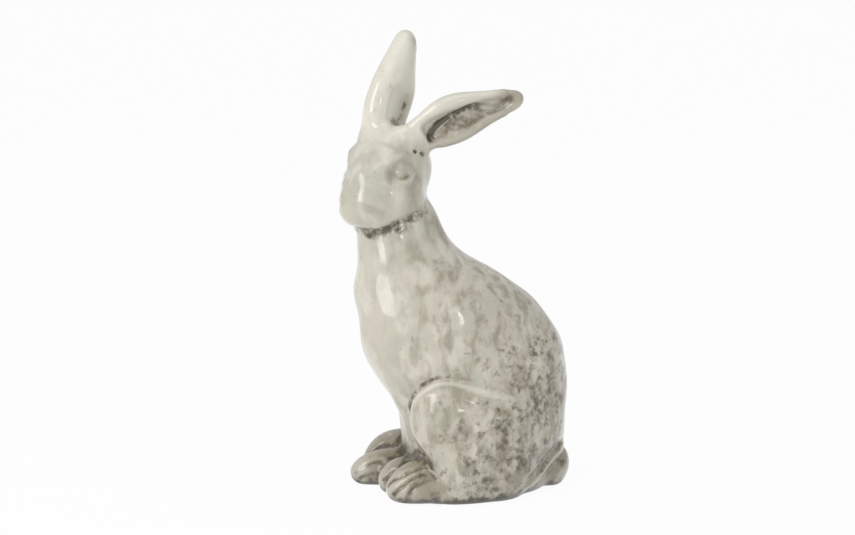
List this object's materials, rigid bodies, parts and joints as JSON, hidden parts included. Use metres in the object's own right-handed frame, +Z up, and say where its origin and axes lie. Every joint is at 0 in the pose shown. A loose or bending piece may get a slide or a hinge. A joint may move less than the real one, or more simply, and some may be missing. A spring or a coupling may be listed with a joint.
{
  "type": "ceramic rabbit figurine",
  "caption": "Glazed ceramic rabbit that sits upright with its head turned aside, an ear raised and the other laid back, to stand on a shelf or table.",
  "frame": {"origin": "middle of the overall footprint, on the table", "axes": "+Z up, the chest faces -Y and the rabbit's left side is +X"},
  "size_m": [0.1002, 0.1459, 0.2872],
  "materials": {
    "glaze": "gloss"
  },
  "bodies": {
    "root": {"torso_casting": "glaze", "head_casting": "glaze", "ear_right_upright": "glaze", "ear_left_laid_back": "glaze", "haunch_left": "glaze", "haunch_right": "glaze", "foreleg_left": "glaze", "foreleg_right": "glaze", "hind_foot_left": "glaze", "hind_foot_right": "glaze", "tail": "glaze"}
  },
  "joints": []
}
